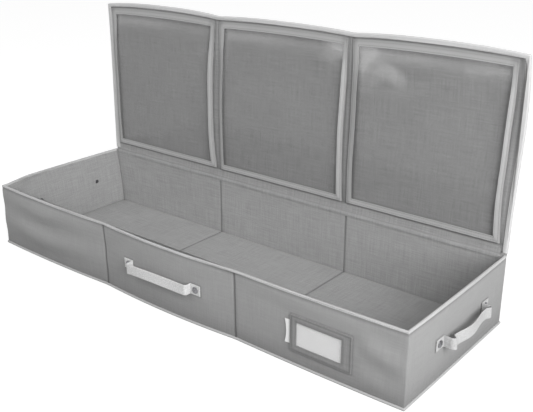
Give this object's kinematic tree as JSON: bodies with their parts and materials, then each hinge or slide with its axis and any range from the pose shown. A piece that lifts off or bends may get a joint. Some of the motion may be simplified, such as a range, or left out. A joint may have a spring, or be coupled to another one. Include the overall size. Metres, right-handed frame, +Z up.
{
  "type": "gift wrap organizer",
  "caption": "Long low fabric box with stiffened panels, a hinged lid with clear pockets, webbing handles and a slide-in label.",
  "frame": {"origin": "centre of the underside of the box, on the surface it stands on", "axes": "+X along the box to the right as seen from the front, +Y from the front wall to the hinge wall, +Z up"},
  "size_m": [1.059, 0.3723, 0.4924],
  "materials": {
    "cover_fabric": "matte",
    "lining_fabric": "matte",
    "pocket_tape": "matte",
    "binding": "matte",
    "webbing": "matte",
    "board": "matte",
    "clear_vinyl": "gloss",
    "rivet_metal": "satin",
    "label_paper": "matte"
  },
  "bodies": {
    "box": {"front_cover": "cover_fabric", "back_cover": "cover_fabric", "left_cover": "cover_fabric", "right_cover": "cover_fabric", "base_cover": "cover_fabric", "front_lining": "lining_fabric", "back_lining": "lining_fabric", "left_lining": "lining_fabric", "right_lining": "lining_fabric", "base_lining": "lining_fabric", "front_board_left": "board", "front_board_middle": "board", "front_board_right": "board", "back_board_left": "board", "back_board_middle": "board", "back_board_right": "board", "left_board": "board", "right_board": "board", "base_board_left": "board", "base_board_middle": "board", "base_board_right": "board", "rim_binding": "binding", "base_piping": "binding", "hinge_welt": "cover_fabric", "label_holder": "cover_fabric", "label_window": "clear_vinyl", "front_handle_tab_left": "webbing", "front_handle_tab_right": "webbing", "front_handle_rivet_left": "rivet_metal", "front_handle_rivet_right": "rivet_metal", "right_handle_tab_left": "webbing", "right_handle_tab_right": "webbing", "right_handle_rivet_left": "rivet_metal", "right_handle_rivet_right": "rivet_metal", "left_handle_tab_left": "webbing", "left_handle_tab_right": "webbing", "left_handle_rivet_left": "rivet_metal", "left_handle_rivet_right": "rivet_metal"},
    "lid": {"lid_cover": "cover_fabric", "lid_lining": "lining_fabric", "lid_board_left": "board", "lid_board_middle": "board", "lid_board_right": "board", "lid_binding": "binding", "pocket_frame_left": "pocket_tape", "pocket_frame_middle": "pocket_tape", "pocket_frame_right": "pocket_tape", "pocket_window_left": "clear_vinyl", "pocket_window_middle": "clear_vinyl", "pocket_window_right": "clear_vinyl"},
    "front_handle": {"front_handle_strap": "webbing"},
    "right_handle": {"right_handle_strap": "webbing"},
    "left_handle": {"left_handle_strap": "webbing"},
    "card": {"label_card": "label_paper"}
  },
  "joints": [
    {"name": "lid_hinge", "type": "hinge", "parent": "box", "child": "lid", "pos_m": [0, 0.1725, 0.1384], "axis": [1, 0, 0], "range_deg": [-112, 90]},
    {"name": "front_handle_swing", "type": "hinge", "parent": "box", "child": "front_handle", "pos_m": [-0.005, -0.1778, 0.073], "axis": [-1, 0, 0], "range_deg": [-54, 54]},
    {"name": "right_handle_swing", "type": "hinge", "parent": "box", "child": "right_handle", "pos_m": [0.5133, 0.008, 0.073], "axis": [0, -1, 0], "range_deg": [-54, 54]},
    {"name": "left_handle_swing", "type": "hinge", "parent": "box", "child": "left_handle", "pos_m": [-0.5133, 0.008, 0.073], "axis": [0, 1, 0], "range_deg": [-54, 54]},
    {"name": "card_slide", "type": "slide", "parent": "box", "child": "card", "axis": [-1, 0, 0], "range_m": [0, 0.1]}
  ]
}
